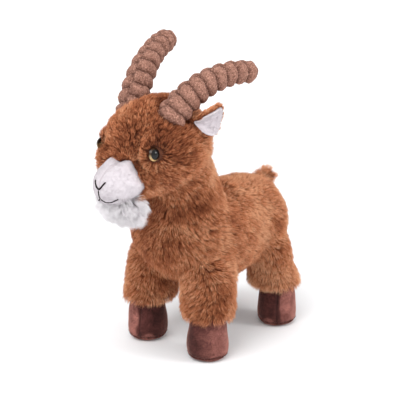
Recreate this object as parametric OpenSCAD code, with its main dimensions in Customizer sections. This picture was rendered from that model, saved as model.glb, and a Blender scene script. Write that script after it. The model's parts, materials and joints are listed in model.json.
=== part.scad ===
// Standing plush ibex with ribbed horns, long brown pile, a short-pile white muzzle and suede hooves.
// Millimetres. +Z is up, the animal faces -Y and its left side is +X.
// The origin is on the floor, under the centre of the bounding box.

/* [Stance] */
// Distance between the left and the right hooves
stance_w = 72; // [68:1:76]
// Distance between the left and the right hip pivots
hip_w = 62; // [58:1:64]
// Height of the hip and shoulder pivots above the floor
hip_z = 76; // [74:1:78]
// Fore-and-aft position of the front hooves
front_hoof_y = -22; // [-26:1:-18]
// Fore-and-aft position of the front shoulder pivots
front_hip_y = -16; // [-18:1:-12]
// Fore-and-aft position of the rear hooves
rear_hoof_y = 82; // [78:1:86]
// Fore-and-aft position of the rear hip pivots
rear_hip_y = 72; // [70:1:74]

/* [Legs] */
// Radius of the ball at the top of each leg
leg_ball_r = 21; // [20:0.5:22]
// Radius of a trouser leg halfway down
leg_r = 20; // [19:0.5:20.5]
// Height of the hem of a trouser leg above the floor
hem_z = 40; // [38:1:42]
// Largest radius of a hoof
hoof_r = 18.5; // [18:0.5:19]
// Largest swing of a leg either way, in degrees
leg_swing = 15; // [5:1:15]

/* [Head] */
// Height of the nodding pivot
nod_z = 165; // [164:0.5:166]
// Fore-and-aft position of the nodding pivot
nod_y = -31; // [-32:0.5:-30]
// Radius of the neck's rounded top, on which the head nods
neck_ball_r = 34; // [33:0.5:34.5]
// Diameter of an eye
eye_d = 11; // [9:0.5:12]

/* [Horns] */
// Length of a horn along its curve
horn_len = 94; // [88:1:98]
// Radius of a horn at its base
horn_base_r = 13.2; // [12:0.2:13.6]
// Radius of a horn near its tip
horn_tip_r = 9.4; // [8:0.2:10]
// Number of ribs sewn across a horn
horn_ribs = 10; // [8:1:12]
// Angle through which a horn curves from base to tip
horn_bend = 68; // [60:1:76]
// Outward splay of the horns
horn_splay = 15; // [10:1:20]
// Rise of the left horn's chord above the horizontal
left_horn_rise = 12; // [10:1:34]
// Rise of the right horn's chord above the horizontal
right_horn_rise = 32; // [10:1:34]

/* [Fabric] */
// Thickness of the fur fabric's backing
fabric_t = 2; // [1.5:0.1:2.5]
// Thickness of the short-pile fabric
pile_t = 1.5; // [1:0.1:2]
// Gap between the fabric and the stuffing, and between panels at a seam
seam_gap = 0.2; // [0.1:0.05:0.3]
// Gap between pieces that move against each other
move_gap = 0.5; // [0.4:0.1:0.8]

/* [Hidden] */
$fn = 48;
left = 1;
right = -1;
big = 400;
facet = 10; // angle that each facet of a loft takes

// Colours
brown_fur = [0.55, 0.30, 0.17];
white_pile = [0.93, 0.92, 0.94];
horn_pile = [0.62, 0.44, 0.36];
hoof_suede = [0.33, 0.18, 0.17];
fibre = [0.96, 0.96, 0.94];
thread = [0.45, 0.30, 0.26];
amber = [0.75, 0.55, 0.30];
black = [0.03, 0.03, 0.03];
clear_white = [0.85, 0.85, 0.85];

// ---- Lofts -------------------------------------------------------------------------------------
// A station is [y, z, tilt, half width, reach up, reach down]. Its ring stands in a plane that
// holds the X direction; tilt turns the ring's up direction from +Z (0) towards +Y (90).

function spline(a, b, c, d, t) =
    b + 0.5 * t * (c - a + t * (2 * a - 5 * b + 4 * c - d + t * (3 * (b - c) + d - a)));

// Stations between the keys, on a smooth curve through them
function stations(keys, steps) = [
    for (i = [0 : len(keys) - 2], s = [0 : steps - 1])
        spline(keys[max(i - 1, 0)], keys[i], keys[i + 1], keys[min(i + 2, len(keys) - 1)], s / steps),
    keys[len(keys) - 1],
];

// The point at angle a on a station's ring: 0 is up, 90 is +X. inset moves it towards the centre.
function on_ring(st, a, inset) =
    let (across = max(st[3] - inset, 0.3) * sin(a),
         up = max((cos(a) > 0 ? st[4] : st[5]) - inset, 0.3) * cos(a))
    [across, st[0] + up * sin(st[2]), st[1] + up * cos(st[2])];

// A closed solid inside the loft, inset from its surface and its ends
module loft_core(sts, inset, sides = 360 / facet) {
    n = len(sts);
    points = [for (st = sts, k = [0 : sides - 1]) on_ring(st, 360 * k / sides, inset)];
    rings = [
        for (i = [0 : n - 2], k = [0 : sides - 1])
            let (k2 = (k + 1) % sides, a = i * sides, b = a + sides)
            each [[a + k, b + k2, b + k], [a + k, a + k2, b + k2]],
    ];
    first = [for (k = [sides - 1 : -1 : 0]) k];
    last = [for (k = [0 : sides - 1]) (n - 1) * sides + k];
    polyhedron(points, concat(rings, [first], [last]));
}

// A panel of fabric: the loft's surface between two angles, as thick as the fabric
module loft_panel(sts, from, to, thick, step = facet) {
    sides = round((to - from) / step);
    n = len(sts);
    m = sides + 1;
    layer = n * m;
    points = [
        for (inset = [0, thick], st = sts, k = [0 : sides])
            on_ring(st, from + (to - from) * k / sides, inset),
    ];
    outside = [
        for (i = [0 : n - 2], k = [0 : sides - 1])
            let (a = i * m + k, b = a + m)
            each [[a, b + 1, b], [a, a + 1, b + 1]],
    ];
    inside = [for (f = outside) [f[2] + layer, f[1] + layer, f[0] + layer]];
    near = [for (k = [0 : sides - 1]) each wall(k + 1, k, layer)];
    far = [for (k = [0 : sides - 1]) each wall((n - 1) * m + k, (n - 1) * m + k + 1, layer)];
    start = [for (i = [0 : n - 2]) each wall(i * m, (i + 1) * m, layer)];
    end = [for (i = [0 : n - 2]) each wall((i + 1) * m + sides, i * m + sides, layer)];
    polyhedron(points, concat(outside, inside, near, far, start, end));
}

// Two triangles between the edge a-b of the outside and the same edge of the inside
function wall(a, b, layer) = [[a, b, b + layer], [a, b + layer, a + layer]];

// Places the left-hand shape, or its mirror image on the right
module on_side(side) {
    if (side == left) children();
    else mirror([1, 0, 0]) children();
}

// ---- Torso -------------------------------------------------------------------------------------
collar_z = 128;
collar_y = -17;
torso_keys = [
    [111, 96, 0, 8, 9, 9],
    [108, 96, 0, 23, 24, 22],
    [95, 97, 0, 36, 37, 34],
    [72, 98, 0, 41, 43, 40],
    [40, 98, 0, 43, 42, 41],
    [12, 101, 30, 45, 41, 44],
    [-3, 109, 56, 45, 39, 46],
    [-13, 118, 76, 43, 38, 43],
    [collar_y, collar_z, 90, 41, 38, 38],
];
torso_rings = stations(torso_keys, 2);
side_edge = 140;   // angle on a ring where the sides end and the underside begins
belly_last = 9;    // ring where the belly panel meets the chest panel
keel_w = 9.5;      // half width of the keel left between the rooms for the legs
ankle_z = 24;      // height of the point that a leg's axis runs to

function part_of(rings, from, to) = [for (i = [from : to]) rings[i]];

// Room for a leg's ball and for the swing of the trouser leg below it
module leg_room(side, hip_y, hoof_y) {
    lean = atan2(hoof_y - hip_y, hip_z - ankle_z);
    spread = leg_ball_r + move_gap + 3;
    drop = 45;
    back = spread + drop * tan(leg_swing + lean + 3);
    front = spread + drop * tan(leg_swing - lean + 3);
    outline = [
        [-8, leg_ball_r - 1], [0, spread], [drop, back],
        [drop, -front], [0, -spread], [-8, 1 - leg_ball_r],
    ];
    on_side(side) translate([hip_w / 2, hip_y, hip_z]) {
        sphere(r = leg_ball_r + move_gap);
        translate([keel_w - hip_w / 2, 0, 0]) rotate([0, 90, 0])
            linear_extrude(stance_w) polygon(outline);
    }
}

tail_root = [0, 97, 129];
tail_root_r = 8;

module torso_part() {
    difference() {
        children();
        for (side = [left, right]) {
            leg_room(side, front_hip_y, front_hoof_y);
            leg_room(side, rear_hip_y, rear_hoof_y);
        }
        translate(tail_root) sphere(r = tail_root_r + move_gap);
        translate(tail_root) rotate([-tail_lean, 0, 0])
            cylinder(r1 = tail_root_r + move_gap, r2 = tail_root_r + 24, h = 24);
    }
}

module torso_side_left() {
    color(brown_fur) torso_part() loft_panel(torso_rings, seam_gap / 2, side_edge, fabric_t);
}

module torso_side_right() {
    color(brown_fur) torso_part() loft_panel(torso_rings, -side_edge, -seam_gap / 2, fabric_t);
}

module belly_panel() {
    color(brown_fur) torso_part()
        loft_panel(part_of(torso_rings, 0, belly_last), side_edge + 0.4, 360 - side_edge - 0.4, fabric_t);
}

module chest_panel() {
    color(brown_fur) torso_part() difference() {
        loft_panel(part_of(torso_rings, belly_last, len(torso_rings) - 1),
                   side_edge + 0.4, 360 - side_edge - 0.4, fabric_t);
        loft_core([for (r = part_of(torso_rings, belly_last - 1, belly_last))
                      [r[0] - seam_gap, r[1], r[2], r[3], r[4], r[5] + 2]], 0);
    }
}

module torso_stuffing() {
    color(fibre) torso_part() loft_core(torso_rings, fabric_t + seam_gap);
}

// ---- Tail --------------------------------------------------------------------------------------
// A short flat tail that points back and up. It is made along +Z and then laid over.
tail_len = 23.5;
tail_lean = 68;

module tail_solid(inset) {
    half = [
        [0, -tail_root_r + inset], [tail_root_r - inset, 0], [tail_root_r - inset, 3],
        [11 - inset, 11], [10 - inset, 18],
        [5 - inset / 2, tail_len - 2 - inset], [0, tail_len - inset],
    ];
    intersection() {
        rotate_extrude() polygon(half);
        translate([-20, inset - 6.5, -20]) cube([40, 13 - 2 * inset, 60]);
    }
}

module tail_half(top) {
    translate(tail_root) rotate([-tail_lean, 0, 0]) intersection() {
        tail_solid(0);
        translate([-20, top ? -20 : seam_gap, -20]) cube([40, 20, 60]);
    }
}

module tail_top() {
    color(brown_fur) tail_half(true);
}

module tail_underside() {
    color(brown_fur) tail_half(false);
}

// ---- Neck --------------------------------------------------------------------------------------
nod = [0, nod_y, nod_z];
neck_lean = 67; // tilt of the ring through the nodding pivot

// Rings of the dome over a ring at the pivot
function dome_rings(r) = [
    for (a = [18 : 18 : 90])
        [nod_y - r * sin(a) * cos(neck_lean), nod_z + r * sin(a) * sin(neck_lean), neck_lean,
         max(r * cos(a), 1), max(r * cos(a), 1), max(r * cos(a), 1)],
];

neck_keys = [
    [collar_y, collar_z + move_gap, 90, 39, 36, 36],
    [collar_y - 6, collar_z + 18, 79, 35, 35, 35],
    [nod_y, nod_z, neck_lean, neck_ball_r, neck_ball_r, neck_ball_r],
];
neck_rings = concat(stations(neck_keys, 3), dome_rings(neck_ball_r));
neck_fill_rings = concat(
    [for (st = stations(neck_keys, 3)) [st[0], st[1], st[2], st[3] - 2.2, st[4] - 2.2, st[5] - 2.2]],
    dome_rings(neck_ball_r - fabric_t - seam_gap));

module neck_side_left() {
    color(brown_fur) loft_panel(neck_rings, 0.2, 179.8, fabric_t, 15);
}

module neck_side_right() {
    color(brown_fur) loft_panel(neck_rings, 180.2, 359.8, fabric_t, 15);
}

module neck_stuffing() {
    color(fibre) loft_core(neck_fill_rings, 0, 24);
}

// ---- Head --------------------------------------------------------------------------------------
face_y = -90; // plane where the brown face ends and the white muzzle begins
head_keys = [
    [-5, 194, 0, 6, 6, 6],
    [-8, 194, 0, 19, 18, 17],
    [-19, 195, 0, 33, 32, 29],
    [-43, 196, 0, 41, 39, 38],
    [-62, 194, 0, 40, 39, 37],
    [-76, 190, 0, 36, 34, 33],
    [-85, 183, 0, 31, 27, 27],
    [-88, 176, 0, 26.5, 21.5, 22.5],
    [face_y, 170.5, 0, 22, 16.5, 18],
];
head_rings = stations(head_keys, 2);
gusset_edge = 20;    // half angle of the strip over the crown
jaw_edge = 140;      // angle where the cheeks end and the jaw begins

eye_at = [29.5, -83, 197];
eye_turn = 8;        // how far the eyes look forward from straight sideways
eye_lift = 8;        // how far the eyes look up from level
washer_r = 6.5;
washer_t = 1.5;
washer_z = -2.4 - washer_t;
stem_r = 2;

// Brings what is made along +Z to the eye on one side, looking outwards
module at_eye(side) {
    on_side(side) translate(eye_at) rotate([0, 90 - eye_lift, -eye_turn]) children();
}

// Room for an eye, its stem and its washer; the fabric between them stays
module eye_room(side) {
    at_eye(side) {
        cylinder(r = stem_r + 0.1, h = 22, center = true);
        translate([0, 0, eye_z - 0.1]) cylinder(d = eye_d + 0.6, h = 8);
        translate([0, 0, washer_z - 0.3]) cylinder(r = washer_r + 0.3, h = washer_t + 0.4);
    }
}

horn_at = [23.5, -51, 225];
ear_at = [38.8, -43, 216];
ear_root_r = 5;

// Room in the head for the neck, the horns, the ears and the eyes
module head_part() {
    difference() {
        children();
        translate(nod) sphere(r = neck_ball_r + move_gap);
        for (side = [left, right]) {
            horn_room(side);
            on_side(side) translate(ear_at) sphere(r = ear_root_r + move_gap);
            eye_room(side);
        }
    }
}

module head_side(side) {
    from = side == left ? gusset_edge + 0.3 : -jaw_edge + 0.3;
    to = side == left ? jaw_edge - 0.3 : -gusset_edge - 0.3;
    color(brown_fur) head_part() loft_panel(head_rings, from, to, fabric_t);
}

module head_gusset() {
    color(brown_fur) head_part()
        loft_panel(head_rings, -gusset_edge, gusset_edge, fabric_t);
}

module jaw_panel() {
    color(brown_fur) head_part()
        loft_panel(part_of(head_rings, 6, len(head_rings) - 1), jaw_edge, 360 - jaw_edge, fabric_t);
}

module head_stuffing() {
    color(fibre) head_part() {
        loft_core(head_rings, fabric_t + seam_gap);
        loft_core(muzzle_fill_rings, fill_back);
    }
}

// ---- Muzzle ------------------------------------------------------------------------------------
muzzle_keys = [
    [face_y + 2, 171, 0, 18, 13, 14],
    [face_y - seam_gap, 170, 0, 21.5, 16, 17.5],
    [face_y - 7, 170, 0, 21, 16, 17.5],
    [face_y - 15, 170, 0, 17.5, 15, 16],
    [face_y - 22, 170, 0, 12, 12, 13],
    [face_y - 26.5, 170, 0, 6, 6.5, 7],
    [face_y - 27.5, 170, 0, 1.5, 1.5, 1.5],
];
muzzle_rings = stations(muzzle_keys, 2);
muzzle_skin_rings = part_of(muzzle_rings, 2, len(muzzle_rings) - 1);

// Rings of the muzzle's filling, drawn back more and more towards the blunt tip, where an inset
// of the rings alone would leave it against the skin
fill_back = fabric_t + seam_gap;
muzzle_fill_rings = [
    for (r = muzzle_rings)
        let (t = (muzzle_keys[0][0] - r[0]) / (muzzle_keys[0][0] - muzzle_keys[len(muzzle_keys) - 1][0]))
        [r[0] + fill_back * t, r[1], r[2], r[3], r[4], r[5]],
];

module muzzle_left() {
    color(white_pile) loft_panel(muzzle_skin_rings, 0.4, jaw_edge - 0.4, pile_t);
}

module muzzle_right() {
    color(white_pile) loft_panel(muzzle_skin_rings, 0.4 - jaw_edge, -0.4, pile_t);
}

module chin_panel() {
    color(white_pile) loft_panel(muzzle_skin_rings, jaw_edge, 360 - jaw_edge, pile_t);
}

function unit(v) = v / norm(v);

// A thread that lies along the given points of the muzzle
module thread_along(points, r) {
    n = len(points);
    sides = 8;
    middle = [0, face_y - 10, 170];
    rings = [
        for (i = [0 : n - 1])
            let (along = unit(points[min(i + 1, n - 1)] - points[max(i - 1, 0)]),
                 across = unit(cross(along, points[i] - middle)),
                 out = cross(across, along))
            for (k = [0 : sides - 1])
                points[i] + r * (cos(360 * k / sides) * out + sin(360 * k / sides) * across),
    ];
    walls = [
        for (i = [0 : n - 2], k = [0 : sides - 1])
            let (k2 = (k + 1) % sides, a = i * sides, b = a + sides)
            each [[a + k, b + k, b + k2], [a + k, b + k2, a + k2]],
    ];
    first = [for (k = [0 : sides - 1]) k];
    last = [for (k = [sides - 1 : -1 : 0]) (n - 1) * sides + k];
    polyhedron(rings, concat(walls, [first], [last]));
}

// A point on the muzzle: t runs from 0 at the face to 1 at its tip, a is the angle on the ring
function on_muzzle(t, a) =
    let (i = t * (len(muzzle_skin_rings) - 1), low = min(floor(i), len(muzzle_skin_rings) - 2))
    on_ring(muzzle_skin_rings[low] * (1 - i + low) + muzzle_skin_rings[low + 1] * (i - low), a, 0);

// The arms of a Y, from the tip of the muzzle up and outwards
module nostril_stitches() {
    color(thread) for (side = [left, right])
        thread_along([for (s = [0 : 3]) on_muzzle(1 - 0.09 * s, side * (28 + 2 * s))], 0.8);
}

// The stem of the Y, and the mouth that curves out and up from its foot
module mouth_stitches() {
    color(thread) {
        thread_along([for (s = [0 : 3]) on_muzzle(0.97 - 0.087 * s, 180)], 0.7);
        thread_along([for (s = [-4 : 4]) on_muzzle(0.71 - 0.055 * abs(s), 180 + 15.5 * s)], 0.7);
    }
}

// ---- Beard -------------------------------------------------------------------------------------
beard_keys = [
    [-84, 160, 70, 12, 8, 8],
    [-90, 150, 80, 19, 14, 15],
    [-90, 142, 88, 19, 15, 14],
    [-89, 135, 90, 12, 10, 9],
    [-89, 131.5, 90, 3, 3, 3],
];

// The tuft hangs, so its rings are made upside down and mirrored
beard_rings = [for (k = stations(beard_keys, 2)) [k[0], -k[1], k[2], k[3], k[4], k[5]]];

module beard() {
    color(white_pile) difference() {
        mirror([0, 0, 1]) loft_core(beard_rings, 0, 16);
        loft_core(head_rings, -seam_gap);
        loft_core(muzzle_rings, -seam_gap);
    }
}

// ---- Eyes --------------------------------------------------------------------------------------
eye_z = 0.3;     // where the flat back of the eye rests on the fabric
eye_proud = 3.6; // how far the eye's dome stands out of the fabric
pupil_t = 2;
iris_rim = 1.1;

// A dome of the given width and height on the plane z = 0
module dome(d, h) {
    ball_r = (d * d / 4 + h * h) / (2 * h);
    intersection() {
        translate([0, 0, h - ball_r]) sphere(r = ball_r);
        cylinder(d = d, h = h);
    }
}

module pupil_seat(gap) {
    translate([0, 0, eye_z + eye_proud - pupil_t - gap])
        cylinder(d = eye_d - 2 * iris_rim + 2 * gap, h = 5);
}

module eye(side) {
    color(amber) at_eye(side) {
        difference() {
            translate([0, 0, eye_z]) dome(eye_d, eye_proud);
            pupil_seat(0.02);
        }
        translate([0, 0, -8]) cylinder(r = stem_r, h = 8 + eye_z);
    }
}

module pupil(side) {
    color(black) at_eye(side) intersection() {
        translate([0, 0, eye_z]) dome(eye_d, eye_proud);
        pupil_seat(0);
    }
}

module eye_washer(side) {
    color(clear_white) at_eye(side) translate([0, 0, washer_z]) difference() {
        cylinder(r = washer_r, h = washer_t);
        translate([0, 0, -1]) cylinder(r = stem_r + 0.05, h = 4);
    }
}

// ---- Horns -------------------------------------------------------------------------------------
// A horn is made in the YZ plane from its pivot and then turned outwards.
rib_depth = 1.1;
horn_gap = 0.4;

function horn_rise(side) = side == left ? left_horn_rise : right_horn_rise;
function horn_climb(side, t) = horn_rise(side) + horn_bend * (0.5 - t);
horn_curve_r = horn_len / (horn_bend * PI / 180);

// Where the horn's centreline is after the fraction t of its length
function horn_y(side, t) = horn_curve_r * (sin(horn_climb(side, 0)) - sin(horn_climb(side, t)));
function horn_z(side, t) = horn_curve_r * (cos(horn_climb(side, t)) - cos(horn_climb(side, 0)));
function horn_r(t) =
    let (taper = horn_base_r + (horn_tip_r - horn_base_r) * t,
         tip = t > 0.92 ? sqrt(max(1 - pow((t - 0.92) / 0.08, 2), 0.01)) : 1,
         rib = t < 0.97 ? rib_depth * (1 - abs(cos(180 * horn_ribs * t))) : 0)
    max((taper - rib) * tip, 1.2);

function horn_rings(side, steps, inset) = [
    for (s = [0 : steps])
        let (t = s / steps, r = horn_r(t) - inset)
        [horn_y(side, t), horn_z(side, t), 180 - horn_climb(side, t), r, r, r],
];

// Rings of the round root below a horn's pivot, which turns in the head
function horn_root_rings(side, r) = [
    for (a = [-90 : 14 : -6])
        let (depth = r * sin(a), w = max(r * cos(a), 1), climb = horn_climb(side, 0))
        [depth * cos(climb), depth * sin(climb), 180 - climb, w, w, w],
];

module at_horn(side) {
    translate([side * horn_at[0], horn_at[1], horn_at[2]]) rotate([0, 0, -side * horn_splay]) children();
}

module horn_room(side) {
    at_horn(side) {
        sphere(r = horn_base_r + horn_gap);
        rotate([horn_climb(side, 0) - 90, 0, 0])
            cylinder(r1 = horn_base_r + horn_gap, r2 = horn_base_r + horn_gap + 6, h = 30);
    }
}

module horn_panel(side, from) {
    color(horn_pile) at_horn(side)
        loft_panel(horn_rings(side, 4 * horn_ribs, 0), from + 0.8, from + 179.2, pile_t, 22.5);
}

module horn_stuffing(side) {
    color(fibre) at_horn(side)
        loft_core(concat(horn_root_rings(side, horn_base_r),
                         horn_rings(side, horn_ribs, pile_t + rib_depth + seam_gap)), 0, 16);
}

// ---- Ears --------------------------------------------------------------------------------------
// An ear is a cupped leaf, made in the XZ plane with its root at the origin, facing -Y.
ear_len = 28;
ear_w = 24;
ear_cup_r = 18;

module ear_leaf() {
    leaf_r = (ear_len * ear_len / 4 + ear_w * ear_w / 4) / ear_w;
    rotate([90, 0, 0]) linear_extrude(40, center = true) intersection() {
        translate([leaf_r - ear_w / 2, ear_len / 2]) circle(r = leaf_r);
        translate([ear_w / 2 - leaf_r, ear_len / 2]) circle(r = leaf_r);
    }
}

module ear_layer(outer, thick) {
    intersection() {
        ear_leaf();
        translate([0, -ear_cup_r, ear_len / 2]) difference() {
            cylinder(r = outer, h = 60, center = true, $fn = 64);
            cylinder(r = outer - thick, h = 70, center = true, $fn = 64);
            translate([-40, -80, -40]) cube([80, 80, 80]);
        }
    }
}

module at_ear(side) {
    on_side(side) translate(ear_at) rotate([53, 66, 134]) translate([0, 0, 1]) children();
}

module ear_back(side) {
    color(brown_fur) at_ear(side) ear_layer(ear_cup_r + 1, fabric_t);
}

module ear_lining(side) {
    color(white_pile) at_ear(side) ear_layer(ear_cup_r + 1 - fabric_t - seam_gap, pile_t);
}

// ---- Legs --------------------------------------------------------------------------------------
ankle_fill_r = 11;

function hoof_at(side, hoof_y) = [side * stance_w / 2, hoof_y, 0];

// Half of a trouser leg's outline: over its ball, then down past the hem
function leg_outline(inset) = concat(
    [for (a = [90 : -facet : 0]) (leg_ball_r - inset) * [cos(a), sin(a)]],
    [
        [leg_r + 0.5 - inset, -14], [leg_r - inset, -26], [leg_r + 0.4 - inset, -40],
        [leg_r + 0.8 - inset, -hip_z - 4], [0, -hip_z - 4],
    ]);

// A trouser leg's outside, made downwards from the hip pivot
module leg_shape(inset) {
    rotate_extrude() polygon(leg_outline(inset));
}

// Turns the leg so that its axis runs from the hip to the ankle
module at_hip(side, hip_y, hoof_y) {
    d = [(stance_w - hip_w) / 2 * side, hoof_y - hip_y, ankle_z - hip_z];
    translate([side * hip_w / 2, hip_y, hip_z])
        rotate([atan2(d[1], -d[2]), atan2(-d[0], -d[2]), 0]) children();
}

module above(z) {
    intersection() {
        children();
        translate([-big / 2, -big / 2, z]) cube([big, big, big]);
    }
}

module leg_skin(side, hip_y, hoof_y) {
    color(brown_fur) above(hem_z) at_hip(side, hip_y, hoof_y) difference() {
        leg_shape(0);
        leg_shape(fabric_t);
    }
}

module leg_stuffing(side, hip_y, hoof_y) {
    color(fibre) {
        above(hoof_top + seam_gap) at_hip(side, hip_y, hoof_y) leg_shape(fabric_t + seam_gap);
        translate(hoof_at(side, hoof_y)) {
            hoof_shape(pile_t + seam_gap, sole_t + seam_gap, hoof_top);
            translate([0, 0, hoof_top - 1]) cylinder(r = ankle_fill_r, h = 2);
        }
    }
}

// ---- Hooves ------------------------------------------------------------------------------------
hoof_top = 45;
rear_hoof_turn = 37;
left_hoof_turn = -55;
right_hoof_turn = 20;
sole_t = 1.8;
sole_r = 15.2;

module hoof_shape(inset, from, to) {
    intersection() {
        rotate_extrude() polygon([
            [0, 0], [sole_r + 0.6 - inset, 0], [sole_r + 2.2 - inset, 1.6], [hoof_r - 0.3 - inset, 5],
            [hoof_r - inset, 10], [hoof_r - 0.6 - inset, 22], [hoof_r - 2.5 - inset, 35],
            [hoof_r - 5 - inset, hoof_top], [0, hoof_top],
        ]);
        translate([-big / 2, -big / 2, from]) cube([big, big, to - from]);
    }
}

// How far a hoof is turned about its own axis, which sets where its front and back seams are
function hoof_turn(side, hoof_y) =
    hoof_y == rear_hoof_y ? side * rear_hoof_turn : side == left ? left_hoof_turn : right_hoof_turn;

module hoof_panel(side, hoof_y, outer) {
    half = (outer ? 1 : -1) * side;
    color(hoof_suede) translate(hoof_at(side, hoof_y)) intersection() {
        difference() {
            hoof_shape(0, 0, hoof_top);
            hoof_shape(pile_t, -1, hoof_top + 1);
            translate([0, 0, -1]) cylinder(r = sole_r + 0.1, h = 4);
        }
        rotate([0, 0, hoof_turn(side, hoof_y)])
            translate([half > 0 ? seam_gap / 2 : -30 - seam_gap / 2, -30, -1]) cube([30, 60, 60]);
    }
}

module hoof_sole(side, hoof_y) {
    color(hoof_suede) translate(hoof_at(side, hoof_y)) cylinder(r = sole_r, h = sole_t);
}

// ---- The pieces --------------------------------------------------------------------------------
torso_side_left();
torso_side_right();
chest_panel();
belly_panel();
torso_stuffing();
tail_top();
tail_underside();
neck_side_left();
neck_side_right();
neck_stuffing();
head_side(left);  // head_side_left
head_side(right);  // head_side_right
head_gusset();
jaw_panel();
head_stuffing();
muzzle_left();
muzzle_right();
chin_panel();
beard();
nostril_stitches();
mouth_stitches();
eye(left);  // eye_left
eye(right);  // eye_right
pupil(left);  // pupil_left
pupil(right);  // pupil_right
eye_washer(left);  // eye_washer_left
eye_washer(right);  // eye_washer_right
horn_panel(left, 0);  // horn_left_outer
horn_panel(left, 180);  // horn_left_inner
horn_stuffing(left);  // horn_left_stuffing
horn_panel(right, 180);  // horn_right_outer
horn_panel(right, 0);  // horn_right_inner
horn_stuffing(right);  // horn_right_stuffing
ear_back(left);  // ear_left_back
ear_lining(left);  // ear_left_lining
ear_back(right);  // ear_right_back
ear_lining(right);  // ear_right_lining
leg_skin(left, front_hip_y, front_hoof_y);  // leg_front_left_skin
leg_stuffing(left, front_hip_y, front_hoof_y);  // leg_front_left_stuffing
hoof_panel(left, front_hoof_y, true);  // hoof_front_left_outer
hoof_panel(left, front_hoof_y, false);  // hoof_front_left_inner
hoof_sole(left, front_hoof_y);  // hoof_front_left_sole
leg_skin(right, front_hip_y, front_hoof_y);  // leg_front_right_skin
leg_stuffing(right, front_hip_y, front_hoof_y);  // leg_front_right_stuffing
hoof_panel(right, front_hoof_y, true);  // hoof_front_right_outer
hoof_panel(right, front_hoof_y, false);  // hoof_front_right_inner
hoof_sole(right, front_hoof_y);  // hoof_front_right_sole
leg_skin(left, rear_hip_y, rear_hoof_y);  // leg_rear_left_skin
leg_stuffing(left, rear_hip_y, rear_hoof_y);  // leg_rear_left_stuffing
hoof_panel(left, rear_hoof_y, true);  // hoof_rear_left_outer
hoof_panel(left, rear_hoof_y, false);  // hoof_rear_left_inner
hoof_sole(left, rear_hoof_y);  // hoof_rear_left_sole
leg_skin(right, rear_hip_y, rear_hoof_y);  // leg_rear_right_skin
leg_stuffing(right, rear_hip_y, rear_hoof_y);  // leg_rear_right_stuffing
hoof_panel(right, rear_hoof_y, true);  // hoof_rear_right_outer
hoof_panel(right, rear_hoof_y, false);  // hoof_rear_right_inner
hoof_sole(right, rear_hoof_y);  // hoof_rear_right_sole
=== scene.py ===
"""The looks of a standing plush ibex: long brown pile over a stuffed body, ribbed horns, a white
muzzle and beard, lined ears, glossy eyes and suede hooves. Lengths are in millimetres, except in
meshes, materials and the camera's place, which are in metres."""

import json
import math

import bmesh
import bpy
import numpy as np
from mathutils import Euler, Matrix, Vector
from mathutils.bvhtree import BVHTree
from mathutils.kdtree import KDTree


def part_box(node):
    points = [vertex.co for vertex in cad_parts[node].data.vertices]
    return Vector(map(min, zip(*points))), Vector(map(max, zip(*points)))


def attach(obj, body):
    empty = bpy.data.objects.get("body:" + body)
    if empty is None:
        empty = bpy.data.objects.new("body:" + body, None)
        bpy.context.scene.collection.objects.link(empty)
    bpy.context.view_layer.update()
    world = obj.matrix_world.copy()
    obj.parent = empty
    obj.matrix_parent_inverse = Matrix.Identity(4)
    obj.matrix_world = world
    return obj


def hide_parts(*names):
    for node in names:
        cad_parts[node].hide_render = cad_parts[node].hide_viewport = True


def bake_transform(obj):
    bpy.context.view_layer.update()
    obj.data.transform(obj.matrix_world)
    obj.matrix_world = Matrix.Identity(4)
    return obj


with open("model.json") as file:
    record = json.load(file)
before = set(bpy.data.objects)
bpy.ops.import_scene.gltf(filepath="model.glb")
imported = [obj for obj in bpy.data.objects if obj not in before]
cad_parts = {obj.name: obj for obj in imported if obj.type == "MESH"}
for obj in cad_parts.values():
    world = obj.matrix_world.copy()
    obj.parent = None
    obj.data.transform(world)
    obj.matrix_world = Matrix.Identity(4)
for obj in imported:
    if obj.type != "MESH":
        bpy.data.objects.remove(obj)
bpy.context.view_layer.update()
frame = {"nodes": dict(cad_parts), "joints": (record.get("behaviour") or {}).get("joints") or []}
MM = 0.001
SIDES = {"left": 1, "right": -1}
ENDS = ("front", "rear")
LEGS = [f"leg_{end}_{side}" for end in ENDS for side in SIDES]
SIM_FRAMES = 20
PIVOT = {j["name"]: np.array(j["pos_m"]) / MM for j in frame["joints"]}


# ---- Materials ---------------------------------------------------------------------------------
def new_material(name, colour, roughness, **settings):
    """A Principled material. settings are socket names with underscores for spaces."""
    mat = bpy.data.materials.new(name)
    mat.use_nodes = True
    shader = mat.node_tree.nodes["Principled BSDF"]
    shader.inputs["Base Color"].default_value = (*colour, 1)
    shader.inputs["Roughness"].default_value = roughness
    for key, value in settings.items():
        socket = shader.inputs[key.replace("_", " ")]
        socket.default_value = (*value, 1) if isinstance(value, tuple) else value
    return mat


def node(mat, kind, **values):
    """A new node in the material, with its properties and inputs set by name."""
    made = mat.node_tree.nodes.new(kind)
    for key, value in values.items():
        if hasattr(made, key):
            setattr(made, key, value)
        else:
            made.inputs[key.replace("_", " ")].default_value = value
    return made


def link(mat, output, target):
    mat.node_tree.links.new(output, target)


def noise(mat, scale, detail=3.0, roughness=0.6):
    """Noise in the object's own coordinates; scale is in cells per metre."""
    place = node(mat, "ShaderNodeTexCoord")
    made = node(mat, "ShaderNodeTexNoise", Scale=scale, Detail=detail, Roughness=roughness)
    link(mat, place.outputs["Object"], made.inputs["Vector"])
    return made.outputs["Fac"]


def ramp(mat, fac, *stops):
    """A colour ramp through (position, colour) stops."""
    made = node(mat, "ShaderNodeValToRGB")
    elements = made.color_ramp.elements
    for i, (position, colour) in enumerate(stops):
        element = elements[i] if i < 2 else elements.new(position)
        element.position = position
        element.color = (*colour, 1)
    link(mat, fac, made.inputs["Fac"])
    return made.outputs["Color"]


def attribute(mat, name):
    return node(mat, "ShaderNodeAttribute", attribute_name=name).outputs["Fac"]


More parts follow.
